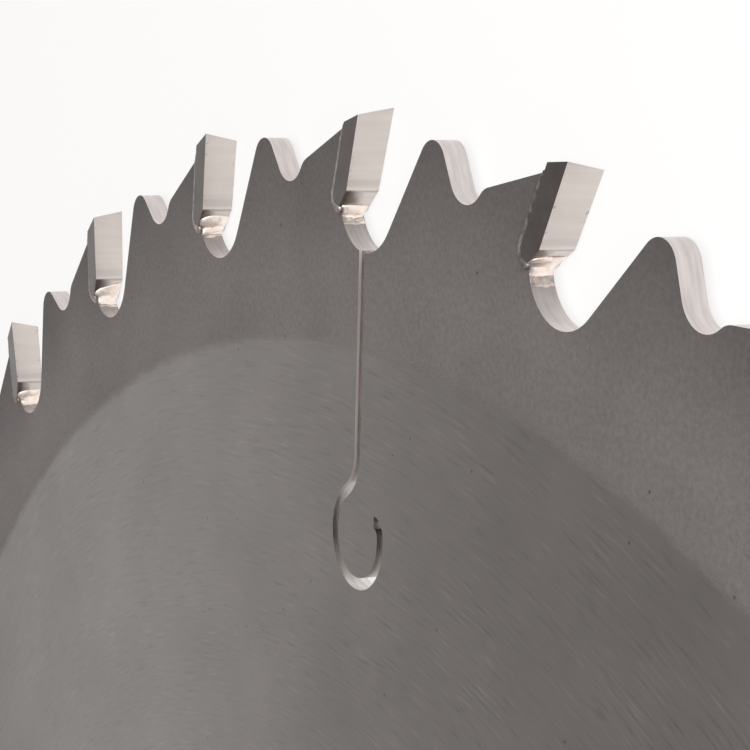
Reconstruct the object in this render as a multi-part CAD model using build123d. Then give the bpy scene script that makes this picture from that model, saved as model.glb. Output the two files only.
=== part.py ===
from build123d import *
from build123d.topology import SkipClean
import math
import os

os.makedirs("parts", exist_ok=True)

# Circular saw blade with brazed carbide tips, in millimetres.
# The blade lies flat. +Z is the arbor axis, and the origin is the centre of the bore, half way
# through the plate. Seen from above, the cutting points face clockwise.

# Blade
teeth = 32
tip_circle_radius = 175.0
plate_thickness = 2.2
bore_diameter = 30.0
bore_edge_chamfer = 0.3
blasted_rim_width = 21.3

# Carbide tip, along the rake face and behind it
kerf = 3.5
hook_angle = 17.5
rake_face_height = 7.8
tip_length = 9.75
tip_thickness = 2.6
lower_bevel_set_back = 1.05
heel_bevel = 0.5
top_relief_angle = 14.0
top_bevel_angle = 10.0
radial_clearance_angle = 0.9
tangential_clearance_angle = 2.0

# Seat of the tip in the plate
braze_gap = 0.12
shoulder_depth = 2.45
ledge_length = 1.2

# Braze round the tip
seam_leg = 0.35
braze_climb = 0.6
braze_throat = 0.5
braze_run = 1.0

# Tooth outline: each corner by its distance behind the cutting point, measured on the tip
# circle, its depth below that circle or below the tip, and its rounding
limiter_behind = 21.75
limiter_depth = 0.2
limiter_radius = 2.25
pocket_behind = 15.9
pocket_depth = 8.55
pocket_radius = 2.95
knee_behind = 12.9
knee_depth = 4.8
knee_radius = 2.15
gullet_wall_behind = 4.0
gullet_wall_below_tip = 1.15
gullet_wall_radius = 5.0
gullet_floor_ahead = 1.95
gullet_floor_depth = 14.6
gullet_floor_radius = 5.2

# Expansion slots, each from the floor of a gullet to a curl
slot_count = 4
slot_width = 1.1
slot_bend_radius = 4.0
curl_radius = 4.4
curl_depth = 38.3
curl_ahead = 0.4
curl_sweep = 249.0
curl_end_radius = 1.2
curl_end_sweep = 80.0

pitch_angle = 360 / teeth
half_plate = plate_thickness / 2
ground_disc_radius = tip_circle_radius - blasted_rim_width
gullet_wall_depth = tip_length + gullet_wall_below_tip
shortest_straight = 0.05
overshoot = 5.0


def turned(point, angle):
    """A point in plan, turned clockwise about the arbor axis by an angle in degrees."""
    return Vector(*point).rotate(Axis.Z, -angle)


def on_tooth(behind, depth):
    """A point in plan, behind the cutting point of a tooth at twelve o'clock."""
    angle = math.degrees(behind / tip_circle_radius)
    return turned((0, tip_circle_radius - depth), -angle)


# The cutting point, the way down the rake face and the way straight back into the tooth
cutting_point = Vector(0, tip_circle_radius)
down_rake = Vector(0, -1).rotate(Axis.Z, -hook_angle)
into_tooth = down_rake.rotate(Axis.Z, -90)


def on_tip(down, back):
    """A point in plan, down the rake face of the same tooth and behind it."""
    return cutting_point + down_rake * down + into_tooth * back


def heel(gap):
    """Both corners of the bevelled heel, on an outline that runs round the tip at a distance."""
    leg = heel_bevel + gap * (2 - math.sqrt(2))
    bottom = tip_length + gap
    back = tip_thickness + gap
    return [on_tip(bottom - leg, back), on_tip(bottom, back - leg)]


# The ends of the seat that the tip is brazed to: the shoulder behind it and the ledge below it
shoulder = on_tip(shoulder_depth, tip_thickness + braze_gap)
ledge_end = on_tip(tip_length + braze_gap, tip_thickness + braze_gap - ledge_length)


def fitted_roundings(corners, radii):
    """The radii of the inner corners, smaller where two roundings would overlap on a side."""
    sides = [after - before for before, after in zip(corners, corners[1:])]
    turns = [before.get_angle(after) for before, after in zip(sides, sides[1:])]
    reaches = [radius * math.tan(math.radians(turn / 2)) for radius, turn in zip(radii, turns)]
    fitted = list(radii)
    for i, side in enumerate(sides[1:-1]):
        reach = reaches[i] + reaches[i + 1]
        room = side.length - shortest_straight
        if reach > room:
            fitted[i] = min(fitted[i], radii[i] * room / reach)
            fitted[i + 1] = min(fitted[i + 1], radii[i + 1] * room / reach)
    return fitted


def tooth_outline():
    """One tooth from flank to flank: limiter, pocket, tooth back, seat and gullet."""
    limiter = on_tooth(limiter_behind, limiter_depth)
    pocket = on_tooth(pocket_behind, pocket_depth)
    knee = on_tooth(knee_behind, knee_depth)
    gullet_wall = on_tooth(gullet_wall_behind, gullet_wall_depth)
    gullet_floor = on_tooth(-gullet_floor_ahead, gullet_floor_depth)
    flank_end = (gullet_floor + turned(limiter, pitch_angle)) / 2
    flank_start = turned(flank_end, -pitch_angle)
    seat = [shoulder, *heel(braze_gap), ledge_end]
    corners = [flank_start, limiter, pocket, knee, *seat, gullet_wall, gullet_floor, flank_end]
    roundings = [
        limiter_radius, pocket_radius, knee_radius, 0, 0, 0, 0, gullet_wall_radius, gullet_floor_radius,
    ]
    return FilletPolyline(*corners, radius=fitted_roundings(corners, roundings)).edges()


def slot_path():
    """Middle of an expansion slot: straight down, one bend back and most of a turn forwards."""
    centre = Vector(curl_ahead, tip_circle_radius - curl_depth)
    reach = slot_bend_radius + curl_radius
    across = slot_bend_radius + curl_ahead
    bend_height = centre.Y + math.sqrt(reach ** 2 - across ** 2)
    bend_centre = Vector(-slot_bend_radius, bend_height)
    bend_sweep = math.degrees(math.acos(across / reach))
    top = Vector(0, tip_circle_radius - gullet_floor_depth + overshoot)
    straight = Edge.make_line(top, Vector(0, bend_height))
    bend = Edge.make_circle(
        slot_bend_radius, Plane(bend_centre), -bend_sweep, 0, AngularDirection.COUNTER_CLOCKWISE,
    )
    curl_start = 180 - bend_sweep
    curl = Edge.make_circle(curl_radius, Plane(centre), curl_start, curl_start + curl_sweep)
    curl_end = centre + Vector(curl_radius, 0).rotate(Axis.Z, curl_start + curl_sweep)
    end_centre = curl_end + (centre - curl_end).normalized() * curl_end_radius
    end_start = curl_start + curl_sweep
    end = Edge.make_circle(curl_end_radius, Plane(end_centre), end_start, end_start + curl_end_sweep)
    return [straight, bend, curl, end]


def on_teeth(solid, numbers):
    """Copies of a solid that was made on tooth 0 at twelve o'clock, on the teeth of these numbers."""
    return [solid.rotate(Axis.Z, -k * pitch_angle) for k in numbers]


def bore_cutter():
    """The bore with its two chamfered edges, as the body that is taken out of the plate."""
    neck_radius = bore_diameter / 2
    neck = half_plate - bore_edge_chamfer
    mouth = half_plate + overshoot
    mouth_radius = neck_radius + mouth - neck
    section = Polyline(
        (0, -mouth), (mouth_radius, -mouth), (neck_radius, -neck),
        (neck_radius, neck), (mouth_radius, mouth), (0, mouth), close=True,
    )
    return revolve(Plane.XZ * make_face(section), Axis.Z)


def with_ground_disc(plate):
    """The same plate, with the edge of the ground disc as a line on both of its faces."""
    disc = Cylinder(ground_disc_radius, plate_thickness)
    with SkipClean():
        return ((plate & disc) + (plate - disc)).solid()


def blade_plate():
    """The steel plate with its teeth, bore and expansion slots."""
    tooth = tooth_outline()
    edges = [copy for edge in tooth for copy in on_teeth(edge, range(teeth))]
    outline = make_face(Wire(edges))
    plate = extrude(outline, half_plate, both=True) - bore_cutter()
    slot = extrude(trace(slot_path(), slot_width), plate_thickness, both=True)
    slotted_teeth = [round(i * teeth / slot_count) for i in range(slot_count)]
    plate -= on_teeth(slot, slotted_teeth)
    return with_ground_disc(plate)


def tip_outline():
    """Side view of a carbide tip: back, bevelled heel, lower bevel and rake face, left long at the top."""
    heel_back, heel_bottom = heel(0)
    return Polyline(
        on_tip(-overshoot, tip_thickness), heel_back, heel_bottom, on_tip(tip_length, lower_bevel_set_back),
        on_tip(rake_face_height, 0), on_tip(-overshoot, 0), close=True,
    )


def side_plane(side):
    """Side of a tip: widest along the cutting edge, and narrower downwards and towards the back."""
    edge_point = cutting_point + Vector(0, 0, side * kerf / 2)
    narrowing = down_rake * math.tan(math.radians(radial_clearance_angle))
    narrowing += into_tooth * math.tan(math.radians(tangential_clearance_angle))
    return Plane(edge_point, z_dir=Vector(0, 0, side) + narrowing)


def top_plane(high_side):
    """Top of a tip: falls away behind the cutting edge and across from its high side."""
    high_point = cutting_point + Vector(0, 0, high_side * kerf / 2)
    fall_back = Vector(-1, 0, 0) * math.tan(math.radians(top_relief_angle))
    fall_across = Vector(0, 0, -high_side) * math.tan(math.radians(top_bevel_angle))
    return Plane(high_point, z_dir=Vector(0, 1, 0) + fall_back + fall_across)


def carbide_tip(high_side):
    """A tip of the tooth at twelve o'clock, with the high end of its top on one side of the plate."""
    tip = extrude(make_face(tip_outline()), kerf, both=True)
    for plane in (side_plane(1), side_plane(-1), top_plane(high_side)):
        tip = split(tip, bisect_by=plane, keep=Keep.BOTTOM)
    return tip


def seat_film():
    """Braze film in the seat, with a sloping seam where it comes out on both faces of the plate."""
    start = shoulder_depth + seam_leg
    front = tip_thickness + braze_gap - ledge_length
    section = Polyline(
        on_tip(start, front), on_tip(start, tip_thickness + seam_leg), *heel(seam_leg),
        on_tip(tip_length + seam_leg, front), close=True,
    )
    film = extrude(make_face(section), half_plate + seam_leg, both=True)
    ends = film.faces().sort_by(Axis.Z)
    return chamfer(ends[0].edges() + ends[-1].edges(), seam_leg)


def braze_fillet():
    """Braze that hangs in the corner between the lower bevel of the tip and the gullet wall."""
    bevel_length = tip_length - rake_face_height
    climb_back = lower_bevel_set_back * (bevel_length - braze_climb) / bevel_length
    top = on_tip(tip_length - braze_climb, climb_back)
    throat = ledge_end - into_tooth * braze_throat
    down_wall = (on_tooth(gullet_wall_behind, gullet_wall_depth) - ledge_end).normalized()
    foot = ledge_end + down_wall * braze_run
    inside_plate = foot + into_tooth * tip_thickness
    inside_tip = on_tip(tip_length - braze_climb, tip_thickness)
    section = make_face(
        ThreePointArc(top, throat, foot) + Polyline(foot, inside_plate, inside_tip, top)
    )
    fillet = extrude(section, half_plate, both=True)
    spread = extrude(section, half_plate + seam_leg, both=True)
    for side in (1, -1):
        plate_edge = ledge_end + Vector(0, 0, side * half_plate)
        outwards = Vector(0, 0, side) + down_rake * (seam_leg / braze_climb)
        spread = split(spread, bisect_by=Plane(plate_edge, z_dir=outwards), keep=Keep.BOTTOM)
    return fillet + spread


def braze_joint(plate, tip):
    """All the braze of the tooth at twelve o'clock."""
    return seat_film() + braze_fillet() - plate - tip


def write(name, shape):
    """One node, as a STEP file of its own."""
    shape.label = name
    export_step(shape, f"parts/{name}.step")


plate = blade_plate()
write("blade_plate", plate)

# Neighbouring tips have the high end of their tops on opposite sides
tips = {side: carbide_tip(side) for side in (1, -1)}
for k in range(teeth):
    tip = tips[1 if k % 2 else -1].rotate(Axis.Z, -k * pitch_angle)
    write(f"carbide_tip_{k + 1:02d}", tip)

joint = braze_joint(plate, tips[1])
write("braze_joints", Compound(children=on_teeth(joint.solid(), range(teeth))))
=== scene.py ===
"""Circular saw blade with brazed carbide tips: finishes, braze beads, light and camera."""
import bpy
import math
from functools import partial
from mathutils import Matrix, Vector


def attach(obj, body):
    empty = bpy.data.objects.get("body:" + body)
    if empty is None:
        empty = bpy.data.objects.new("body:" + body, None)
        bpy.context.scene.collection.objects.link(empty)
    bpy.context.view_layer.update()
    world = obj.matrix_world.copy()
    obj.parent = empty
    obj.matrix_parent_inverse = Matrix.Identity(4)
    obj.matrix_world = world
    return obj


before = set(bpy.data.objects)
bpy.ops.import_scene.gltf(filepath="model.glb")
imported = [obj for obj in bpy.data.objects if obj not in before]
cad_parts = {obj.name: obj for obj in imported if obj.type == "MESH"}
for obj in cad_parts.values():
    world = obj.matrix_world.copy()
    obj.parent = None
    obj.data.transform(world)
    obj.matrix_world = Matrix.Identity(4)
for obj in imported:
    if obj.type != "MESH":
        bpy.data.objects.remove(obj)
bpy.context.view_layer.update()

MM = 0.001

# Blade, in millimetres, with the arbor axis on Z and the first cutting point on Y
teeth = 32
tip_circle_radius = 175.0
kerf = 3.5
plate_thickness = 2.2
ground_disc_radius = 153.7
gullet_floor_radius = 160.4

# Carbide tip, down its rake face and behind it
hook_angle = math.radians(17.5)
rake_face_height = 7.8
tip_length = 9.75
tip_thickness = 2.6
lower_bevel_set_back = 1.05
heel_bevel = 0.5
radial_clearance = math.radians(0.9)
tangential_clearance = math.radians(2.0)
shoulder_depth = 2.45

# Gullet wall, down the rake face and behind it: an arc by its centre, its radius and its upper end
gullet_wall_centre = (7.23, -2.742)
gullet_wall_radius = 5.0
gullet_wall_top = 9.9

# Foot of the brazed joint on that wall, where the wall is darkest
joint_foot = (11.1, 0.4)

# Braze fillet: both its ends, how far back it starts, its fall for each millimetre down, and its hollow
fillet_top = 9.15
fillet_bottom = 10.68
fillet_set_back = 0.727
fillet_slope = 0.134
fillet_hollow = 0.197

# Expansion slot: how wide and how high its mouth opens into the gullet, and where its straight part ends
slot_mouth_half_width = 0.7
slot_mouth_radius = 163.3
curl_top_radius = 141.2

# Painted shade in spots at the end of a slot: across from the cutting point, below it, and how far each
# reaches
slot_end_shade_spots = ((4.15, 37.05, 0.62), (3.5, 36.1, 0.55))

# Where the teeth begin to darken from the heat of brazing, and where they are darkest
heat_from_radius = 160.0
heat_full_radius = 174.0

# Grinding marks: their lean off circles about the arbor, and the radius where they have their true size
mark_lean = math.radians(4.5)
mark_radius = 130.0

# Colours, as they look on a screen
blasted_steel = (132, 126, 124)
ground_steel = (130, 124, 121)
gullet_steel = (224, 217, 214)
cut_steel = (208, 204, 202)
# Painted highlight on both edges of a slot's straight part
slot_edge_highlight = (232, 224, 221)
# Curl of a slot: painted shade near the faces, its wall deeper in, and painted light where it faces outward
curl_shade_near_face = (170, 167, 165)
curl_deep_in = (204, 199, 196)
curl_outward_light = (238, 234, 231)
carbide_flank = (81, 73, 69)
carbide_face = (211, 203, 198)
# Brown of the lower bevel, also used for painted shade along its upper edge
bevel_brown_and_shade = (90, 79, 73)
braze_darkest = (88, 76, 71)
braze_grey = (186, 176, 171)
braze_warm = (247, 226, 214)
braze_pale = (252, 246, 238)
floor_glow = (253, 251, 250)

# Beads of braze: how far they are sunk into what they lie on, and how far they run past their ends
sunk = 0.02
past_end = 0.03

# How thin the beads get, how high a full gap stands, and the lip along their lower edge
thinnest_braze = 0.012
full_gap_height = 0.11
lip_height = 0.03
lip_length = 0.18
lip_overhang = 0.02

# How uneven the beads are
bead_unevenness = 0.16
bead_lumps_each_metre = 1100.0

# Camera: its place, the point on the plate that it looks at, and its turn about the line of sight
camera_place = (168.85, 176.62, 88.03)
camera_target = (3.07, 151.63, 1.1)
camera_roll = -92.5
camera_lens = 102.95
sensor_width = 36.0

# Surroundings: their brightness near the floor and overhead, and the heights in degrees where it changes
sky_low = 1.0
sky_high = 0.4
sky_bright_up_to = 20
sky_dim_from = 40

# Lamps: places and targets in metres
sun_strength = 0.95
sun_spread = 60
sun_place = (0.1, 0.3, 1.0)
softbox_power = 1.85
softbox_size = 0.22
softbox_place = (0.34, 0.24, 0.225)
softbox_target = (0.02, 0.15, 0.0)

# Floor, in metres, and the share of its light that doesn't depend on the lamps
floor_half_size = 3.0
floor_own_share = 0.82


def linear(red, green, blue):
    """A colour given as it looks on a screen, 0 to 255, as the light that the shader works in."""
    def channel(value):
        value /= 255
        return value / 12.92 if value <= 0.04045 else ((value + 0.055) / 1.055) ** 2.4
    return (channel(red), channel(green), channel(blue), 1.0)


def add_node(tree, kind, inputs=(), **settings):
    """A node with its settings, and with values or links on its inputs by place or by name."""
    made = tree.nodes.new(kind)
    for name, value in settings.items():
        setattr(made, name, value)
    for name, value in dict(inputs).items():
        if isinstance(value, bpy.types.NodeSocket):
            tree.links.new(value, made.inputs[name])
        else:
            made.inputs[name].default_value = value
    return made


class Finish:
    """A material that is built up node by node round one Principled shader."""

    def __init__(self, name):
        self.material = bpy.data.materials.new(name)
        self.material.use_nodes = True
        self.tree = self.material.node_tree
        self.shader = self.tree.nodes["Principled BSDF"]

    def set(self, **values):
        """Constant values on the shader's own sockets."""
        for name, value in values.items():
            self.shader.inputs[name.replace("_", " ").title()].default_value = value

    def into(self, socket, value):
        """Links a value into a socket of the shader."""
        self.tree.links.new(value, self.shader.inputs[socket])

    def node(self, kind, inputs=(), **settings):
        """A node of this material."""
        return add_node(self.tree, kind, inputs, **settings)

    def math(self, operation, first, second=0.0, third=0.0):
        """The result of one sum."""
        return self.node("ShaderNodeMath", {0: first, 1: second, 2: third}, operation=operation).outputs[0]

    def place(self):
        """Object coordinates, in metres."""
        return self.node("ShaderNodeTexCoord").outputs["Object"]

    def split(self, vector):
        """The three parts of a vector."""
        return self.node("ShaderNodeSeparateXYZ", {0: vector}).outputs

    def join(self, x, y, z):
        """A vector from three parts."""
        return self.node("ShaderNodeCombineXYZ", {0: x, 1: y, 2: z}).outputs[0]

    def length(self, vector):
        """How long a vector is."""
        return self.node("ShaderNodeVectorMath", {0: vector}, operation="LENGTH").outputs["Value"]

    def distance(self, place, point):
        """How far a place is from a point."""
        return self.node("ShaderNodeVectorMath", {0: place, 1: point}, operation="DISTANCE").outputs["Value"]

    def noise(self, vector, scale, detail=2.0, roughness=0.5):
        """Smooth noise, 0 to 1, with its scale in waves for each metre."""
        return self.node(
            "ShaderNodeTexNoise",
            {"Vector": vector, "Scale": scale, "Detail": detail, "Roughness": roughness},
        ).outputs["Fac"]

    def between(self, value, low, high, to_low=0.0, to_high=1.0):
        """A value mapped from one range to another, held at its ends."""
        return self.node(
            "ShaderNodeMapRange",
            {"Value": value, "From Min": low, "From Max": high, "To Min": to_low, "To Max": to_high},
        ).outputs[0]

    def band(self, value, low, high, softness):
        """1 between two values and 0 outside them, with soft ends."""
        rise = self.between(value, low - softness, low)
        return self.math("MULTIPLY", rise, self.between(value, high + softness, high))

    def mix(self, factor, first, second):
        """A colour between two others. Numbers and vectors are mixed as colours too."""
        made = self.node("ShaderNodeMix", data_type="RGBA")
        for socket, value in zip((made.inputs[0], made.inputs[6], made.inputs[7]), (factor, first, second)):
            if isinstance(value, bpy.types.NodeSocket):
                self.tree.links.new(value, socket)
            else:
                socket.default_value = value
        return made.outputs[2]

    def shade(self, color, factor):
        """A colour made darker or lighter by a factor."""
        if isinstance(color, tuple):
            color = color[:3]
        return self.node("ShaderNodeVectorMath", {0: color, "Scale": factor}, operation="SCALE").outputs[0]

    def changed(self, color, where, change):
        """A colour made darker or lighter by a share, as far as the place is meant."""
        return self.shade(color, self.math("MULTIPLY_ADD", where, change, 1.0))

    def normal(self):
        """Which way the surface faces."""
        return self.node("ShaderNodeNewGeometry").outputs["Normal"]

    def on_wall(self):
        """1 on walls, whose surface faces across the arbor axis, and 0 on the plate's faces."""
        facing = self.math("ABSOLUTE", self.split(self.normal())[2])
        return self.between(facing, 0.8, 0.5)

    def bump(self, height, distance):
        """Bump from a height of 0 to 1, with its depth in millimetres."""
        inputs = {"Height": height, "Distance": distance * MM, "Strength": 1.0}
        return self.node("ShaderNodeBump", inputs).outputs[0]

    def on_tip(self, place):
        """A place on the nearest tooth, in millimetres: down its rake face, behind it and along the arbor.

        The number of that tooth comes last."""
        x, y, z = self.split(place)
        pitch = 2 * math.pi / teeth
        turn = self.math("ARCTAN2", x, y)
        tooth = self.math("ROUND", self.math("DIVIDE", turn, pitch))
        swing = self.math("MULTIPLY_ADD", tooth, -pitch, turn)
        radius = self.length(self.join(x, y, 0.0))
        across = self.math("MULTIPLY", radius, self.math("SINE", swing))
        upward = self.math("MULTIPLY_ADD", radius, self.math("COSINE", swing), -tip_circle_radius * MM)
        sine = math.sin(hook_angle) / MM
        cosine = math.cos(hook_angle) / MM
        down = self.math("MULTIPLY_ADD", across, -sine, self.math("MULTIPLY", upward, -cosine))
        back = self.math("MULTIPLY_ADD", across, -cosine, self.math("MULTIPLY", upward, sine))
        return down, back, self.math("DIVIDE", z, MM), tooth


class PlateFinish(Finish):
    """The steel of the plate, with the places and patterns that its faces and walls share."""

    def __init__(self, name):
        super().__init__(name)
        self.here = self.place()
        self.x, self.y, self.z = self.split(self.here)
        self.flat = self.join(self.x, self.y, 0.0)
        self.radius = self.length(self.flat)
        self.turn = self.math("ARCTAN2", self.x, self.y)
        self.down, self.back = self.on_tip(self.here)[:2]
        self.depth = self.math("ABSOLUTE", self.z)
        away = self.node("ShaderNodeVectorMath", {0: self.flat}, operation="NORMALIZE").outputs[0]
        self.outward = self.node(
            "ShaderNodeVectorMath", {0: self.normal(), 1: away}, operation="DOT_PRODUCT",
        ).outputs["Value"]
        self.grain = self.noise(self.here, 1900.0, detail=4.0, roughness=0.75)
        self.along, self.across = self.marks()
        short = self.join(self.math("MULTIPLY", self.along, 0.088), self.across, 0.0)
        self.dashes = self.noise(short, 3100.0, detail=4.0)
        flattened = (self.math("MULTIPLY", value, 0.12) for value in (self.x, self.y))
        self.wall_marks = self.noise(self.join(*flattened, self.z), 2600.0, detail=3.0)

    def marks(self):
        """Places along and across the grinding marks, whose arcs lean off the circles about the arbor."""
        size = mark_radius * MM
        straight = self.math("LOGARITHM", self.radius, math.e)
        spiral = self.math("MULTIPLY_ADD", self.turn, math.tan(mark_lean), straight)
        bend = self.math("MULTIPLY", self.noise(self.here, 60.0, detail=1.0), 0.5 * MM)
        across = self.math("ADD", self.math("MULTIPLY", spiral, size), bend)
        return self.math("MULTIPLY", self.turn, size), across

    def disc_edge(self):
        """Inside the ground disc or outside it: single grains for the colour, and smooth for the relief."""
        wavering = self.math("MULTIPLY_ADD", self.noise(self.here, 300.0), 0.9 * MM, self.radius)
        smooth = self.between(wavering, (ground_disc_radius + 1.4) * MM, (ground_disc_radius - 0.6) * MM)
        ragged = self.math("MULTIPLY_ADD", self.noise(self.flat, 9000.0, detail=0.0), 2.8 * MM, wavering)
        grains = self.between(ragged, (ground_disc_radius + 2.0) * MM, (ground_disc_radius + 1.7) * MM)
        return grains, smooth

    def blasted(self):
        """Colour of the rim: fine grain, darker where the teeth were heated."""
        heated = self.between(self.radius, heat_from_radius * MM, heat_full_radius * MM, 1.0, 0.66)
        color = self.shade(linear(*blasted_steel), self.between(self.grain, 0.25, 0.75, 0.84, 1.16))
        return self.shade(color, heated)

    def ground(self):
        """Colour of the ground disc: hairlines, and dark and light dashes that come in patches."""
        long = self.join(self.math("MULTIPLY", self.along, 0.03), self.across, 7.0)
        hairlines = self.noise(long, 6500.0, detail=1.0)
        patches = self.between(self.noise(self.here, 110.0, detail=2.0), 0.35, 0.65, 0.45, 1.0)
        dark = self.math("MULTIPLY", self.between(self.dashes, 0.44, 0.24), patches)
        light = self.math("MULTIPLY", self.between(self.dashes, 0.57, 0.76), patches)
        color = self.shade(linear(*ground_steel), self.between(hairlines, 0.3, 0.7, 0.975, 1.025))
        return self.changed(self.changed(color, dark, -0.3), light, 0.3)

    def face(self, ground):
        """Colour of the plate's faces: blasted or ground, faintly cloudy, with a dark pit here and there."""
        clouds = self.between(self.noise(self.here, 70.0, detail=5.0), 0.3, 0.7, 0.92, 1.08)

        # The underside has its pits elsewhere than the upper face
        shifted = self.join(self.math("MULTIPLY_ADD", self.z, 30.0, self.x), self.y, 0.0)
        from_pit = self.node(
            "ShaderNodeTexVoronoi", {"Vector": shifted, "Scale": 62.0}, voronoi_dimensions="2D",
        ).outputs["Distance"]
        pits = self.between(from_pit, 0.005, 0.011, 0.5, 1.0)
        color = self.mix(ground, self.blasted(), self.ground())
        return self.shade(color, self.math("MULTIPLY", clouds, pits))

    def gullet(self):
        """Colour of the gullet walls: ground, and darker towards the foot of each brazed joint."""
        from_foot = self.distance(self.join(self.down, self.back, 0.0), (*joint_foot, 0.0))
        from_foot = self.math("MULTIPLY_ADD", self.noise(self.here, 500.0), 1.4, from_foot)
        color = self.shade(linear(*gullet_steel), self.between(self.wall_marks, 0.3, 0.7, 0.88, 1.08))
        return self.shade(color, self.between(from_foot, 0.7, 5.5, 0.52, 0.96))

    def slot_places(self):
        """Places across a slot's tooth and up from its cutting point, in millimetres."""
        sine = math.sin(hook_angle)
        cosine = math.cos(hook_angle)
        sideways = self.math("MULTIPLY_ADD", self.down, -sine, self.math("MULTIPLY", self.back, -cosine))
        upright = self.math("MULTIPLY_ADD", self.down, -cosine, self.math("MULTIPLY", self.back, sine))
        return sideways, upright

    def in_slot(self, sideways):
        """1 on the walls of a slot, up to where they run out into the gullet."""
        below_floor = self.between(
            self.radius, (gullet_floor_radius - 0.1) * MM, (gullet_floor_radius - 0.4) * MM,
        )
        near_middle = self.band(sideways, -slot_mouth_half_width, slot_mouth_half_width, 0.1)
        low = self.between(self.radius, (slot_mouth_radius + 0.3) * MM, slot_mouth_radius * MM)
        facing_across = self.between(self.math("ABSOLUTE", self.outward), 0.6, 0.4)
        at_mouth = self.math("MULTIPLY", self.math("MULTIPLY", near_middle, low), facing_across)
        return self.math("MAXIMUM", below_floor, at_mouth)

    def slot(self, in_slot, sideways, upright):
        """Colour of a slot's walls, with painted shade and light in the curl and painted shade at its end,
        and where a painted highlight runs along both edges of its straight part.
        """
        straight = self.between(self.radius, (curl_top_radius - 1.6) * MM, curl_top_radius * MM)
        straight = self.math("MULTIPLY", in_slot, straight)
        # Painted highlight along the top of the wall at both edges of the straight part
        edge_highlight = self.math("MULTIPLY", straight, self.between(self.depth, 0.8 * MM, 0.86 * MM))
        # Painted shade near the faces in the curl, and painted light where its wall faces outward
        deep = self.between(self.depth, 0.78 * MM, 0.66 * MM)
        curl = self.mix(deep, linear(*curl_shade_near_face), linear(*curl_deep_in))
        curl = self.mix(self.between(self.outward, 0.15, 0.5), curl, linear(*curl_outward_light))
        cut = self.mix(straight, curl, linear(*cut_steel))
        cut = self.shade(cut, self.between(self.wall_marks, 0.3, 0.7, 0.85, 1.1))
        # Painted shade in spots at the end of the slot
        for across, below, reach in slot_end_shade_spots:
            from_spot = self.distance(self.join(sideways, upright, 0.0), (across, -below, 0.0))
            cut = self.shade(cut, self.between(from_spot, reach - 0.25, reach, 0.42, 1.0))
        return self.mix(edge_highlight, cut, linear(*slot_edge_highlight)), edge_highlight

    def crosswise(self, ground):
        """Which way light is spread: across the marks where the plate is ground, and any way elsewhere."""
        turn = self.math("ADD", self.turn, mark_lean)
        across_marks = self.join(self.math("SINE", turn), self.math("COSINE", turn), 0.0)
        stray = self.math("MULTIPLY", self.noise(self.here, 9000.0, detail=0.0), 40.0)
        random_way = self.join(self.math("SINE", stray), self.math("COSINE", stray), 0.0)
        return self.mix(ground, random_way, across_marks)


def plate_finish():
    """Steel plate: blasted matt round the rim, ground in the middle, and lighter on its cut walls."""
    steel = PlateFinish("plate_steel")
    steel.set(metallic=1.0, anisotropic=0.75)
    ground, nearly_ground = steel.disc_edge()
    on_wall = steel.on_wall()

    sideways, upright = steel.slot_places()
    in_slot = steel.in_slot(sideways)
    slot, edge_highlight = steel.slot(in_slot, sideways, upright)
    wall = steel.mix(in_slot, steel.gullet(), slot)
    steel.into("Base Color", steel.mix(on_wall, steel.face(ground), wall))

    face_roughness = steel.between(ground, 0.0, 1.0, 0.9, 0.44)
    slot_roughness = steel.between(edge_highlight, 0.0, 1.0, 0.27, 0.6)
    wall_roughness = steel.between(in_slot, 0.0, 1.0, 0.5, slot_roughness)
    steel.into("Roughness", steel.between(on_wall, 0.0, 1.0, face_roughness, wall_roughness))
    steel.into("Normal", steel.bump(steel.mix(nearly_ground, steel.grain, steel.dashes), 0.006))

    ground_face = steel.math("MULTIPLY", ground, steel.math("SUBTRACT", 1.0, on_wall))
    steel.into("Tangent", steel.crosswise(ground_face))
    return steel.material


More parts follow.
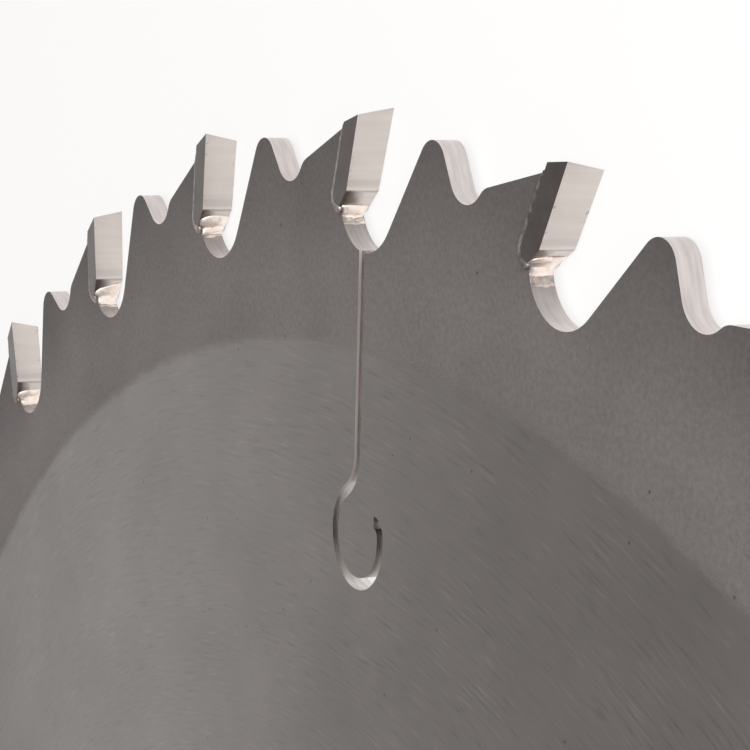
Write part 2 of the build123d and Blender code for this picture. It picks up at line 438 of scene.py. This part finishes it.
def carbide_finish():
    """Ground carbide: dark on the flanks of the tip, light on the rake face and the lower bevel."""
    carbide = Finish("carbide")
    carbide.set(metallic=1.0)
    place = carbide.place()
    down, back, height, tooth = carbide.on_tip(place)
    grain = carbide.noise(place, 1600.0, detail=3.0, roughness=0.6)
    smears = carbide.noise(place, 380.0, detail=3.0, roughness=0.6)
    flank = carbide.shade(linear(*carbide_flank), carbide.between(smears, 0.3, 0.7, 0.76, 1.18))

    # Grinding marks run across the rake face
    squeezed = carbide.join(
        down, carbide.math("MULTIPLY", back, 0.2), carbide.math("MULTIPLY_ADD", height, 0.06, tooth),
    )
    strokes = carbide.noise(squeezed, 1.5, detail=2.0)
    face = carbide.shade(linear(*carbide_face), carbide.between(strokes, 0.3, 0.7, 0.955, 1.04))
    face = carbide.shade(face, carbide.between(carbide.noise(place, 240.0), 0.3, 0.7, 0.95, 1.05))

    # Painted light and shade on the rake face: a darker band low down, darker at its top, and bright in a
    # line on its lower edge
    face = carbide.changed(face, carbide.band(down, 6.9, 7.35, 0.25), -0.1)
    face = carbide.changed(face, carbide.band(down, 7.65, 7.82, 0.08), 0.08)
    face = carbide.changed(face, carbide.between(down, 0.7, 0.1), -0.1)

    # The sides of the rake face are nicked here and there
    nicks = carbide.between(carbide.noise(place, 2400.0, detail=1.0), 0.62, 0.72)
    at_sides = carbide.between(carbide.math("ABSOLUTE", height), kerf / 2 - 0.4, kerf / 2 - 0.1)
    face = carbide.changed(face, carbide.math("MULTIPLY", nicks, at_sides), -0.45)

    # The lower bevel turns darker brown towards one side, with painted shade in a thin line along its upper
    # edge
    on_bevel = carbide.between(down, rake_face_height, rake_face_height + 0.15)
    one_side = carbide.math("ADD", height, -1.5)
    brown_spread = carbide.math("MULTIPLY_ADD", carbide.noise(place, 260.0, detail=3.0), 3.0, one_side)
    corner = carbide.math("MULTIPLY", on_bevel, carbide.between(brown_spread, -0.2, 1.35, 0.0, 0.92))
    # Painted shade in a thin line along the upper edge of the lower bevel
    line = carbide.band(down, rake_face_height + 0.08, rake_face_height + 0.18, 0.12)
    brown_and_shade = carbide.math("MAXIMUM", corner, carbide.math("MULTIPLY", line, 0.35))
    face = carbide.mix(brown_and_shade, face, linear(*bevel_brown_and_shade))

    carbide.into("Base Color", carbide.mix(carbide.on_wall(), flank, face))
    carbide.into("Roughness", carbide.between(grain, 0.3, 0.7, 0.275, 0.285))
    carbide.into("Normal", carbide.bump(grain, 0.0002))
    return carbide.material


def braze_finish(name, own_tone=True):
    """Silver braze, from dull grey brown at a low tone to bright with a warm cast at a high one.

    The tone is its points' own, or comes from its place: low on the seams and high deep in the joint."""
    braze = Finish(name)
    braze.set(metallic=1.0)
    place = braze.place()
    if own_tone:
        tone = braze.node("ShaderNodeAttribute", attribute_name="tone").outputs["Fac"]
    else:
        tone = braze.between(braze.split(place)[2], 0.9 * MM, -0.2 * MM, 0.3, 0.9)
    blotches = braze.noise(place, 1300.0, detail=3.0, roughness=0.6)
    tone = braze.math("ADD", tone, braze.between(blotches, 0.3, 0.7, -0.18, 0.18))
    dull = braze.mix(braze.between(tone, 0.0, 0.5), linear(*braze_darkest), linear(*braze_grey))
    bright = braze.mix(braze.between(blotches, 0.35, 0.65), linear(*braze_warm), linear(*braze_pale))
    braze.into("Base Color", braze.mix(braze.between(tone, 0.5, 0.85), dull, bright))
    braze.into("Roughness", braze.between(tone, 0.2, 0.9, 0.55, 0.38))
    braze.into("Normal", braze.bump(braze.noise(place, 3500.0, detail=2.0), 0.008))
    return braze.material


def on_tip(down, back):
    """A point in plan on the tooth at twelve o'clock, down its rake face and behind it."""
    return Vector((
        -down * math.sin(hook_angle) - back * math.cos(hook_angle),
        tip_circle_radius - down * math.cos(hook_angle) + back * math.sin(hook_angle),
    ))


def tip_half_width(down, back):
    """Half the width of a tip, which narrows down its rake face and behind it."""
    return kerf / 2 - down * math.tan(radial_clearance) - back * math.tan(tangential_clearance)


def seat_front(down):
    """How far back the front of the joint lies: on the lower bevel, the fillet or the gullet wall."""
    fronts = []
    if down < tip_length:
        fronts.append(lower_bevel_set_back * (down - rake_face_height) / (tip_length - rake_face_height))
    if fillet_top < down < fillet_bottom:
        from_middle = (down - (fillet_top + fillet_bottom) / 2) / ((fillet_bottom - fillet_top) / 2)
        chord = fillet_set_back + fillet_slope * (down - fillet_top)
        fronts.append(chord + fillet_hollow * (1 - from_middle ** 2))
    if down > gullet_wall_top:
        centre_down, centre_back = gullet_wall_centre
        fronts.append(centre_back + math.sqrt(gullet_wall_radius ** 2 - (down - centre_down) ** 2))
    return min(fronts)


def swell(value, start, end, steepness=2.0):
    """A rounded rise from 0 at both ends to 1 half way."""
    along = (value - start) / (end - start) * 2 - 1
    return max(0.0, 1 - abs(along) ** steepness) ** 0.5 if abs(along) < 1 else 0.0


class Bead:
    """Thickness and tone of the braze on a joint's front: a roll, a lump and a coat, from the bevel down.

    Each of the three has a stretch down the joint and a height. By the place across the joint, from -1 to 1,
    slant and dome move the roll, and lean and bow move the lump and the coat. Fill is how full the gap
    between the roll and the lump is on its far side. Shine, gloss and gap are the tones of the roll, the
    coat and the gap, and seam holds the tones of the seam at the back and at the heel."""

    def __init__(
        self, roll, roll_height, lump, lump_height, coat, coat_height,
        slant=0.0, dome=0.0, lean=0.0, bow=0.0, fill=0.0, gap=0.3, shine=0.85, gloss=0.5, seam=(0.24, 0.29),
    ):
        self.roll, self.roll_height = roll, roll_height
        self.lump, self.lump_height = lump, lump_height
        self.coat, self.coat_height = coat, coat_height
        self.slant, self.dome = slant, dome
        self.lean, self.bow = lean, bow
        self.fill, self.gap = fill, gap
        self.shine, self.gloss, self.seam = shine, gloss, seam

    def start(self, side):
        """Where the roll begins, by the place across the joint."""
        return self.roll[0] + self.slant * side + self.dome * side * side + 0.3 * max(0.0, side) ** 6

    def roll_end(self, side):
        """Where the roll ends."""
        return self.roll[1] + 0.4 * self.slant * side + 0.1 * self.dome * side * side

    def end(self, side):
        """Where the coat ends."""
        return self.coat[1] + self.shift(side)

    def down(self, side, share):
        """How far down the joint a share of the bead comes."""
        start = self.start(side)
        return start + (self.end(side) + past_end - start) * share

    def shift(self, side):
        """How far the lump and the coat lie lower or higher than at the middle of the joint."""
        return self.lean * side - self.bow * side * side + 0.025 * math.sin(7 * side + 9 * self.coat[0])

    def filled(self, down, lower, side):
        """How full the gap between the roll and the lump is, or None outside it."""
        if self.roll[0] < down and lower < self.lump[1]:
            return self.fill * min(1.0, max(0.0, 0.5 - 1.3 * side))
        return None

    def at(self, down, side):
        """Thickness and tone at a place."""
        lower = down - self.shift(side)
        start, end = self.start(side), self.roll_end(side)
        width = min(1.0, max(0.0, end - start) / (self.roll[1] - self.roll[0]))
        roll = self.roll_height * width * swell(down, start, end)
        lump = self.lump_height * swell(lower, *self.lump, 3.0) * (1 - 0.25 * side * side)
        coat = self.coat_height * swell(lower, *self.coat, 8.0)
        lip_end = self.coat[1] + lip_overhang
        lip = lip_height * swell(lower, lip_end - lip_length, lip_end)
        filled = self.filled(down, lower, side)
        thickness = max(roll, lump, coat + lip, full_gap_height * (filled or 0.0), thinnest_braze)
        if roll == thickness:
            tone = self.shine
        elif lump == thickness:
            tone = 0.95
        elif coat:
            tone = self.gloss + 5 * lip + 0.1 * side * side
        else:
            tone = 0.3
        if filled is not None:
            tone = max(tone, self.gap + (0.9 - self.gap) * filled)
        return thickness, tone


# The kinds of joint, clockwise from the tooth at twelve o'clock
beads = [
    Bead(
        roll=(9.5, 10.55), roll_height=0.24, lump=(10.56, 10.76), lump_height=0.08,
        coat=(10.78, 11.2), coat_height=0.05, slant=-0.05, dome=0.06, bow=0.08, shine=1.15,
    ),
    Bead(
        roll=(8.8, 9.62), roll_height=0.2, lump=(10.08, 10.78), lump_height=0.11,
        coat=(10.8, 11.36), coat_height=0.045, slant=0.12, dome=0.14, bow=0.07,
        fill=1.0, gap=0.75, gloss=0.45, seam=(0.04, 0.14),
    ),
    Bead(
        roll=(8.62, 9.8), roll_height=0.22, lump=(9.85, 10.85), lump_height=0.18,
        coat=(10.87, 11.1), coat_height=0.05, slant=0.42, dome=0.1, lean=-0.08, bow=0.04,
        fill=1.0, gap=0.4, seam=(0.15, 0.27),
    ),
    Bead(
        roll=(8.45, 9.75), roll_height=0.26, lump=(9.85, 10.5), lump_height=0.17,
        coat=(10.62, 10.9), coat_height=0.08, slant=0.08, dome=0.3, lean=0.14, bow=0.05,
        fill=0.6, gap=0.4,
    ),
]


class Shell:
    """Points and faces of closed forms, each point with its tone and its kind of joint."""

    def __init__(self):
        self.points, self.tones, self.kinds, self.faces = [], [], [], []

    def ring(self, corners, tones, kind):
        """A closed ring of points, given in plan and height in millimetres."""
        first = len(self.points)
        self.points += [tuple(value * MM for value in corner) for corner in corners]
        self.tones += tones
        self.kinds += [kind] * len(corners)
        return list(range(first, first + len(corners)))

    def skin(self, rings):
        """Faces between rings of the same length, and one across each end."""
        for before, after in zip(rings, rings[1:]):
            for i in range(len(before)):
                j = (i + 1) % len(before)
                self.faces.append((before[i], before[j], after[j], after[i]))
        self.faces.append(tuple(reversed(rings[0])))
        self.faces.append(tuple(rings[-1]))

    def mesh(self, name):
        """A smooth mesh."""
        mesh = bpy.data.meshes.new(name)
        mesh.from_pydata(self.points, [], self.faces)
        for title, values in (("tone", self.tones), ("kind", self.kinds)):
            mesh.attributes.new(title, "FLOAT", "POINT").data.foreach_set("value", values)
        mesh.shade_smooth()
        return mesh


def bead_half_width(down, back):
    """Half the width of a bead: that of the tip at its top, and nearly that of the plate lower down."""
    on_bevel = max(0.0, min(1.0, (tip_length + 0.2 - down) / 0.35))
    return min(tip_half_width(down, back) - sunk, plate_thickness / 2 - sunk + 0.5 * on_bevel)


def bead_front(shell, bead, kind, rows=44, columns=16):
    """The bead down the front of a joint, from the lower bevel of the tip to the gullet wall."""
    step = 0.02
    root_drop = 0.02
    root_depth = 0.12
    root_width = 0.95
    root_tones = [0.2, 0.9]
    rings = []
    for row in range(rows + 1):
        front, tones = [], []
        for column in range(columns + 1):
            side = math.sin((column / columns - 0.5) * math.pi)
            down = bead.down(side, row / rows)
            back = seat_front(down)
            slope = (seat_front(down + step) - seat_front(down - step)) / (2 * step)
            normal = Vector((slope, -1.0)).normalized()
            thickness, tone = bead.at(down, side)
            rounding = 0.0 if row in (0, rows) else max(0.0, 1 - abs(side) ** 8) ** 0.5
            rise = thickness * rounding - sunk
            plan = on_tip(down + normal[0] * rise, back + normal[1] * rise)
            front.append((*plan, side * bead_half_width(down, back)))
            # The tone is darkened towards the upper face of the bead, as painted shade
            tones.append(tone * (1 - 0.8 * max(0.0, side) ** 4))
        root = []
        for column, side in ((columns, 1), (0, -1)):
            down = bead.down(side, row / rows)
            plan = on_tip(down + root_drop, seat_front(down) + root_depth)
            root.append((*plan, front[column][2] * root_width))
        rings.append(shell.ring(front + root, tones + root_tones, kind))
    shell.skin(rings)


def seam_course():
    """Points that a seam passes, down and behind the rake face, each with the way out of the tip there."""
    diagonal = math.sqrt(0.5)
    corners = [
        (shoulder_depth + 0.1, tip_thickness, 0.0, 1.0), (6.0, tip_thickness, 0.0, 1.0),
        (tip_length - heel_bevel - 0.15, tip_thickness, 0.0, 1.0),
        (tip_length - heel_bevel / 2, tip_thickness - heel_bevel / 2, diagonal, diagonal),
        (tip_length, tip_thickness - heel_bevel - 0.15, 1.0, 0.0), (tip_length, 1.45, 1.0, 0.0),
        (tip_length + 0.15, lower_bevel_set_back, 1.0, 0.3),
    ]
    course = []
    for before, after in zip(corners, corners[1:]):
        steps = max(1, round(math.dist(before[:2], after[:2]) / 0.35))
        course += [[a + (b - a) * i / steps for a, b in zip(before, after)] for i in range(steps)]
    return course + [corners[-1]]


def bead_seam(shell, side, kind):
    """The seam round the back and the heel of a tip, on one face of the plate."""
    inner = -0.1
    outer = 0.74
    bottom = 1.0
    foot = 0.97
    end_spread = 0.6

    # Slope of the seam: each point by how far it is out of the tip, and by its share of the way down
    slope = ((0.04, 0.0), (0.34, 0.02), (0.52, 0.12), (0.64, 0.34), (0.72, 0.64))

    # The seam on the underside is bright at the heel
    at_back, at_heel = beads[kind].seam
    if side < 0:
        at_heel = 0.85
    course = seam_course()
    rings = []
    for index, (down, back, out_down, out_back) in enumerate(course):
        tip_side = tip_half_width(down, back)
        top = tip_side - 0.03
        spread = min(1 + 0.3 * max(0.0, (down - 8.5) / 1.25), 1.4 * (down - shoulder_depth) + 0.1)
        if index in (0, len(course) - 1):
            spread = end_spread
        section = [(inner, bottom), (inner, top)]
        section += [(out * spread, top - drop * (tip_side - foot)) for out, drop in slope]
        section.append((outer * spread, bottom))
        ring = []
        for out, level in section:
            plan = on_tip(down + out_down * out, back + out_back * out)
            ring.append((*plan, side * level))
        tone = at_back + (at_heel - at_back) * min(1.0, max(0.0, (down - 6.0) / 3.0))
        rings.append(shell.ring(ring if side > 0 else ring[::-1], [tone] * len(ring), kind))
    shell.skin(rings)


def braze_tree():
    """Repeats the kinds of joint in turn round the blade, and makes each a little uneven."""
    tree = bpy.data.node_groups.new("joints_round_the_blade", "GeometryNodeTree")
    node = partial(add_node, tree)
    inputs = (
        ("Joints", "Geometry"), ("Teeth", "Int"), ("Unevenness", "Float"), ("Lumps each metre", "Float"),
        ("Seed", "Float"), ("Finish", "Material"),
    )
    for title, kind in inputs:
        tree.interface.new_socket(title, in_out="INPUT", socket_type="NodeSocket" + kind)
    tree.interface.new_socket("Blade", in_out="OUTPUT", socket_type="NodeSocketGeometry")
    given = node("NodeGroupInput").outputs

    # A point for each tooth, and how far round the blade it is turned
    places = node("GeometryNodePoints", {"Count": given["Teeth"]}).outputs[0]
    index = node("GeometryNodeInputIndex").outputs[0]
    pitch = node("ShaderNodeMath", {0: -2 * math.pi, 1: given["Teeth"]}, operation="DIVIDE").outputs[0]
    turn = node("ShaderNodeMath", {0: index, 1: pitch}, operation="MULTIPLY").outputs[0]
    about_arbor = node("ShaderNodeCombineXYZ", {2: turn}).outputs[0]
    rotation = node("FunctionNodeEulerToRotation", {0: about_arbor}).outputs[0]

    # Each kind of joint, on every point whose turn it is
    kind_of = node("GeometryNodeInputNamedAttribute", {"Name": "kind"}, data_type="FLOAT").outputs[0]
    turn_of = node("ShaderNodeMath", {0: index, 1: float(len(beads))}, operation="MODULO").outputs[0]
    joined = node("GeometryNodeJoinGeometry")
    same = partial(node, "FunctionNodeCompare", operation="EQUAL")
    for kind in range(len(beads)):
        of_kind = same({0: kind_of, 1: float(kind), "Epsilon": 0.1}).outputs[0]
        joint = node("GeometryNodeSeparateGeometry", {0: given["Joints"], 1: of_kind}).outputs[0]
        here = same({0: turn_of, 1: float(kind), "Epsilon": 0.1}).outputs[0]
        placed = node(
            "GeometryNodeInstanceOnPoints",
            {"Points": places, "Selection": here, "Instance": joint, "Rotation": rotation},
        )
        tree.links.new(placed.outputs[0], joined.inputs[0])
    real = node("GeometryNodeRealizeInstances", {0: joined.outputs[0]}).outputs[0]

    # Lumps that differ from joint to joint
    lumps = node(
        "ShaderNodeTexNoise", {"Scale": given["Lumps each metre"], "W": given["Seed"], "Detail": 2.0},
        noise_dimensions="4D",
    ).outputs[0]
    centred = node("ShaderNodeMath", {0: lumps, 1: 0.5}, operation="SUBTRACT").outputs[0]
    shift = node("ShaderNodeMath", {0: centred, 1: given["Unevenness"]}, operation="MULTIPLY").outputs[0]
    outwards = node("GeometryNodeInputNormal").outputs[0]
    offset = node("ShaderNodeVectorMath", {0: outwards, "Scale": shift}, operation="SCALE").outputs[0]
    uneven = node("GeometryNodeSetPosition", {"Geometry": real, "Offset": offset}).outputs[0]
    finished = node("GeometryNodeSetMaterial", {"Geometry": uneven, "Material": given["Finish"]}).outputs[0]
    node("NodeGroupOutput", {0: finished})
    return tree


def braze_beads(finish):
    """The beads and seams of all the joints, as one plain mesh."""
    shell = Shell()
    for kind, bead in enumerate(beads):
        bead_front(shell, bead, kind)
        for side in (1, -1):
            bead_seam(shell, side, kind)
    piece = bpy.data.objects.new("braze_beads", shell.mesh("braze_beads"))
    bpy.context.collection.objects.link(piece)
    modifier = piece.modifiers.new("joints", "NODES")
    modifier.node_group = braze_tree()
    values = {
        "Teeth": teeth, "Unevenness": bead_unevenness * MM, "Lumps each metre": bead_lumps_each_metre,
        "Seed": 4.0, "Finish": finish,
    }
    for item in modifier.node_group.interface.items_tree:
        if item.in_out == "INPUT" and item.name in values:
            modifier[item.identifier] = values[item.name]
    evaluated = piece.evaluated_get(bpy.context.evaluated_depsgraph_get())
    plain = bpy.data.meshes.new_from_object(evaluated)
    piece.modifiers.clear()
    piece.data = plain
    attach(piece, "root")


def smoothing(limit):
    """Joins a node's loose triangles and smooths its round faces, but keeps edges over the limit sharp."""
    tree = bpy.data.node_groups.new("joined_and_smooth", "GeometryNodeTree")
    node = partial(add_node, tree)
    for way in ("INPUT", "OUTPUT"):
        tree.interface.new_socket("Geometry", in_out=way, socket_type="NodeSocketGeometry")
    given = node("NodeGroupInput").outputs[0]
    joined = node("GeometryNodeMergeByDistance", {"Geometry": given, "Distance": 0.001 * MM}).outputs[0]
    faces = node("GeometryNodeSetShadeSmooth", {"Geometry": joined}).outputs[0]
    angle = node("GeometryNodeInputMeshEdgeAngle").outputs["Unsigned Angle"]
    soft = node("FunctionNodeCompare", {0: angle, 1: math.radians(limit)}, operation="LESS_THAN").outputs[0]
    edges = node("GeometryNodeSetShadeSmooth", {"Geometry": faces, "Shade Smooth": soft}, domain="EDGE")
    node("NodeGroupOutput", {0: edges.outputs[0]})
    return tree


def dress_cad():
    """Finishes on the modelled pieces, with smooth round faces."""
    finishes = {"blade_plate": plate_finish(), "braze_joints": braze_finish("braze_fillet", own_tone=False)}
    carbide = carbide_finish()
    tree = smoothing(25)
    for name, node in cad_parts.items():
        node.data.materials.clear()
        node.data.materials.append(finishes.get(name, carbide))
        modifier = node.modifiers.new("joined_and_smooth", "NODES")
        modifier.node_group = tree


def floor():
    """A white floor that the blade lies on."""
    size = floor_half_size
    height = -kerf / 2 * MM
    mesh = bpy.data.meshes.new("floor")
    mesh.from_pydata(
        [(-size, -size, height), (size, -size, height), (size, size, height), (-size, size, height)],
        [], [(0, 1, 2, 3)],
    )
    piece = bpy.data.objects.new("floor", mesh)
    bpy.context.collection.objects.link(piece)
    white = Finish("white_floor")
    white.set(base_color=(0.75, 0.75, 0.75, 1.0), roughness=1.0)
    path = white.node("ShaderNodeLightPath").outputs
    seen = white.math("MAXIMUM", path["Is Camera Ray"], path["Is Glossy Ray"])
    own_share = white.math("MULTIPLY", seen, floor_own_share)
    glow = white.node("ShaderNodeEmission", {"Color": linear(*floor_glow), "Strength": 1.0})
    mixed = white.node("ShaderNodeMixShader", {0: own_share, 1: white.shader.outputs[0], 2: glow.outputs[0]})
    white.tree.links.new(mixed.outputs[0], white.tree.nodes["Material Output"].inputs["Surface"])
    mesh.materials.append(white.material)


def sky():
    """White surroundings, bright near the floor and dimmer further up."""
    world = bpy.data.worlds.new("surroundings")
    bpy.context.scene.world = world
    world.use_nodes = True
    node = partial(add_node, world.node_tree)
    direction = node("ShaderNodeTexCoord").outputs["Generated"]
    height = node("ShaderNodeSeparateXYZ", {0: direction}).outputs[2]
    low = math.sin(math.radians(sky_bright_up_to))
    high = math.sin(math.radians(sky_dim_from))
    level = node(
        "ShaderNodeMapRange",
        {"Value": height, "From Min": low, "From Max": high, "To Min": sky_low, "To Max": sky_high},
        interpolation_type="SMOOTHSTEP",
    ).outputs[0]
    background = world.node_tree.nodes["Background"]
    background.inputs["Color"].default_value = (1.0, 1.0, 1.0, 1.0)
    world.node_tree.links.new(level, background.inputs["Strength"])


def lamps():
    """A soft lamp far overhead, and a softbox close by on the camera's side."""
    sun = bpy.data.lights.new("overhead_lamp", "SUN")
    sun.energy = sun_strength
    sun.angle = math.radians(sun_spread)
    box = bpy.data.lights.new("softbox", "AREA")
    box.energy = softbox_power
    box.size = softbox_size
    for light, place, target in ((sun, sun_place, (0, 0, 0)), (box, softbox_place, softbox_target)):
        holder = bpy.data.objects.new(light.name, light)
        bpy.context.collection.objects.link(holder)
        holder.location = place
        holder.rotation_euler = (Vector(place) - Vector(target)).to_track_quat("Z", "Y").to_euler()
        holder.visible_camera = False


def camera():
    """The photograph's viewpoint."""
    lens = bpy.data.cameras.new("camera")
    lens.lens = camera_lens
    lens.sensor_width = sensor_width
    lens.clip_start = 0.01
    holder = bpy.data.objects.new("camera", lens)
    bpy.context.collection.objects.link(holder)
    place = Vector(camera_place) * MM
    away = place - Vector(camera_target) * MM
    roll = Matrix.Rotation(math.radians(camera_roll), 3, "Z")
    look = away.to_track_quat("Z", "Y").to_matrix() @ roll
    holder.matrix_world = Matrix.Translation(place) @ look.to_4x4()
    bpy.context.scene.camera = holder


dress_cad()
braze_beads(braze_finish("braze_alloy"))
floor()
sky()
lamps()
camera()
bpy.context.scene.view_settings.view_transform = "Standard"

bpy.context.view_layer.update()
